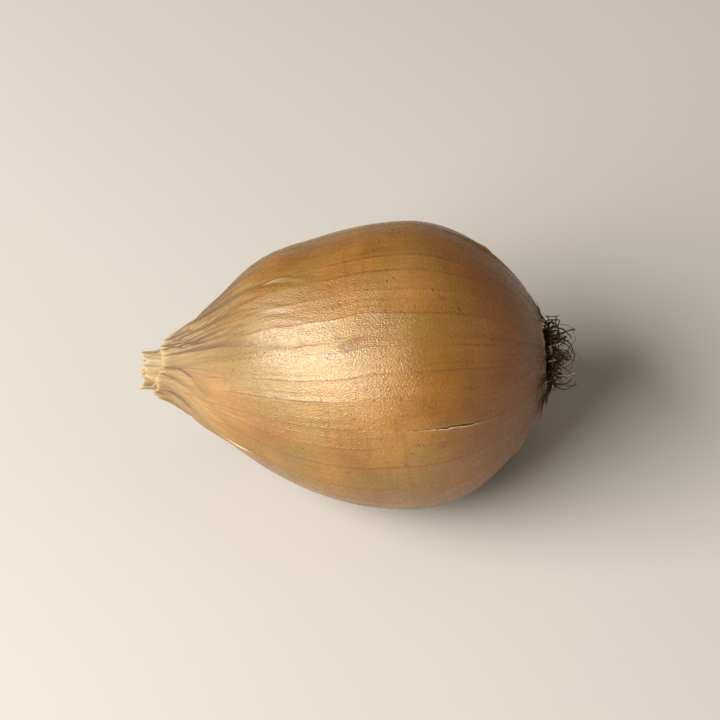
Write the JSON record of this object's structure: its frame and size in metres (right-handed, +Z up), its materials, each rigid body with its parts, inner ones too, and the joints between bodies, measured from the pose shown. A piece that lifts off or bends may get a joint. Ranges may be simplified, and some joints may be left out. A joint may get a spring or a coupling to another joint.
{
  "type": "onion",
  "caption": "Whole yellow storage onion lying on its side: papery tan bulb drawn out into a dry neck, with a tuft of dried roots on its basal plate.",
  "frame": {"origin": "centre of the small flat spot that the onion rests on", "axes": "+Z up, +X from the neck towards the roots, along the length of the onion; the neck points to -X and hangs slightly below level"},
  "size_m": [0.1005, 0.0645, 0.0627],
  "materials": {
    "papery_skin": "satin golden-tan dry onion skin with fine lengthwise veins, small dark flecks and an olive-grey tinge at the shoulders",
    "dried_root": "matt grey-brown dried roots with traces of soil"
  },
  "bodies": {
    "root": {"bulb": "papery_skin", "root_tuft": "dried_root"}
  },
  "joints": []
}
